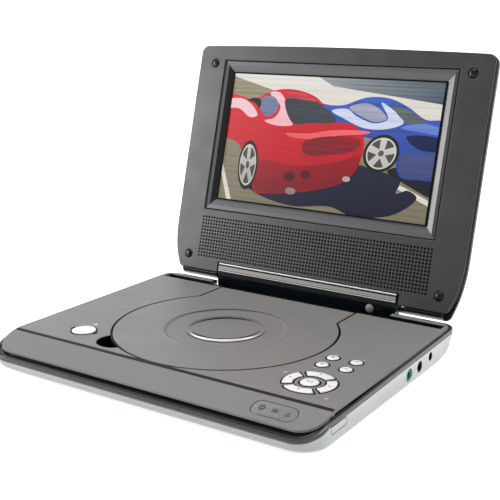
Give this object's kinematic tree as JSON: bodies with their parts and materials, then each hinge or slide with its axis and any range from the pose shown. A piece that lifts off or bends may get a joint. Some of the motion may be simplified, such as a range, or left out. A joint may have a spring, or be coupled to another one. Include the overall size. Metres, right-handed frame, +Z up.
{
  "type": "portable dvd player",
  "caption": "Clamshell disc player: a tilting screen with speakers in the lid, and a disc bay, keys and sockets in the base.",
  "frame": {"origin": "middle of the bounding box at the level of the feet", "axes": "+X to the right along the screen hinge, +Y to the back, +Z up"},
  "size_m": [0.2104, 0.2206, 0.1755],
  "materials": {
    "deck_plastic": "satin metallic grey",
    "lid_plastic": "satin dark grey",
    "black_gloss": "gloss",
    "silver_paint": "satin silver",
    "band_gloss": "gloss grey",
    "key_white": "satin white",
    "soft_black": "matte",
    "steel": "brushed",
    "circuit": "satin green",
    "jack_green": "satin green",
    "screen_panel": "gloss dark",
    "cell_wrap": "satin blue wrap",
    "smoke": "clear satin grey",
    "brass": "turned",
    "inner_grey": "moulded"
  },
  "bodies": {
    "base": {"lower_case": "silver_paint", "side_band": "band_gloss", "upper_case": "deck_plastic", "disc_tray": "black_gloss", "drive_chassis": "steel", "spindle_motor": "steel", "guide_rod_front": "steel", "guide_rod_rear": "steel", "sled_motor": "steel", "main_board": "circuit", "key_board": "circuit", "battery_pack": "cell_wrap", "lid_switch": "soft_black", "headphone_jack": "jack_green", "av_jack": "black_gloss", "dc_inlet": "black_gloss", "port_cover": "silver_paint", "indicator_window": "smoke", "foot_front_left": "soft_black", "foot_front_right": "soft_black", "foot_rear_left": "soft_black", "foot_rear_right": "soft_black", "case_screw_1": "steel", "case_screw_2": "steel", "case_screw_3": "steel", "case_screw_4": "steel", "hinge_barrel": "black_gloss", "barrel_pin": "inner_grey", "hinge_bush_left": "brass", "hinge_bush_right": "brass"},
    "screen_lid": {"lid_bezel": "lid_plastic", "lid_back": "black_gloss", "lcd_panel": "screen_panel", "lcd_frame": "steel", "lid_board": "circuit", "speaker_left": "soft_black", "speaker_right": "soft_black", "hinge_arm_left": "steel", "hinge_arm_right": "steel", "bumper_lower_left": "soft_black", "bumper_lower_right": "soft_black", "bumper_upper_left": "soft_black", "bumper_upper_right": "soft_black"},
    "disc_lid": {"disc_lid": "deck_plastic"},
    "disc_latch": {"disc_latch": "inner_grey"},
    "open_button": {"open_button": "key_white"},
    "round_key_1": {"round_key_1": "key_white"},
    "round_key_2": {"round_key_2": "key_white"},
    "round_key_3": {"round_key_3": "key_white"},
    "round_key_4": {"round_key_4": "key_white"},
    "pad_key_right": {"pad_key_right": "key_white"},
    "pad_key_rear": {"pad_key_rear": "key_white"},
    "pad_key_left": {"pad_key_left": "key_white"},
    "pad_key_front": {"pad_key_front": "key_white"},
    "pad_key_centre": {"pad_key_centre": "key_white"},
    "turntable": {"turntable": "inner_grey"},
    "pickup_sled": {"pickup_sled": "inner_grey", "pickup_lens": "smoke"},
    "sled_gear": {"sled_gear": "key_white"}
  },
  "joints": [
    {"name": "screen_hinge", "type": "hinge", "parent": "base", "child": "screen_lid", "pos_m": [0, 0.06241, 0.0277], "axis": [-1, 0, 0], "range_deg": [-105.1, 35]},
    {"name": "disc_lid_hinge", "type": "hinge", "parent": "base", "child": "disc_lid", "pos_m": [-0.0027, 0.03674, 0.0175], "axis": [-1, 0, 0], "range_deg": [0, 55]},
    {"name": "open_button_press", "type": "slide", "parent": "base", "child": "open_button", "axis": [0, 0, -1], "range_m": [0, 0.0012], "stiffness_N_per_m": 400},
    {"name": "disc_latch_slide", "type": "slide", "parent": "base", "child": "disc_latch", "axis": [-0.803, -0.596, 0], "range_m": [0, 0.0012]},
    {"name": "round_key_1_press", "type": "slide", "parent": "base", "child": "round_key_1", "axis": [0, 0, -1], "range_m": [0, 0.0007], "stiffness_N_per_m": 300},
    {"name": "round_key_2_press", "type": "slide", "parent": "base", "child": "round_key_2", "axis": [0, 0, -1], "range_m": [0, 0.0007], "stiffness_N_per_m": 300},
    {"name": "round_key_3_press", "type": "slide", "parent": "base", "child": "round_key_3", "axis": [0, 0, -1], "range_m": [0, 0.0007], "stiffness_N_per_m": 300},
    {"name": "round_key_4_press", "type": "slide", "parent": "base", "child": "round_key_4", "axis": [0, 0, -1], "range_m": [0, 0.0007], "stiffness_N_per_m": 300},
    {"name": "pad_key_right_press", "type": "slide", "parent": "base", "child": "pad_key_right", "axis": [0, 0, -1], "range_m": [0, 0.0007], "stiffness_N_per_m": 300},
    {"name": "pad_key_rear_press", "type": "slide", "parent": "base", "child": "pad_key_rear", "axis": [0, 0, -1], "range_m": [0, 0.0007], "stiffness_N_per_m": 300},
    {"name": "pad_key_left_press", "type": "slide", "parent": "base", "child": "pad_key_left", "axis": [0, 0, -1], "range_m": [0, 0.0007], "stiffness_N_per_m": 300},
    {"name": "pad_key_front_press", "type": "slide", "parent": "base", "child": "pad_key_front", "axis": [0, 0, -1], "range_m": [0, 0.0007], "stiffness_N_per_m": 300},
    {"name": "pad_key_centre_press", "type": "slide", "parent": "base", "child": "pad_key_centre", "axis": [0, 0, -1], "range_m": [0, 0.0007], "stiffness_N_per_m": 300},
    {"name": "disc_spin", "type": "hinge", "parent": "base", "child": "turntable", "pos_m": [-0.0027, -0.02266, 0.0145], "axis": [0, 0, 1], "continuous": true},
    {"name": "pickup_travel", "type": "slide", "parent": "base", "child": "pickup_sled", "axis": [1, 0, 0], "range_m": [0, 0.033]},
    {"name": "sled_gear_spin", "type": "hinge", "parent": "base", "child": "sled_gear", "pos_m": [0.0418, 0.00839, 0.0085], "axis": [0, 0, 1], "range_deg": [0, 400]}
  ],
  "couplings": [
    {"joint": "disc_latch_slide", "follows": "open_button_press", "ratio": 1},
    {"joint": "sled_gear_spin", "follows": "pickup_travel", "rad_per_m": 208.33}
  ]
}
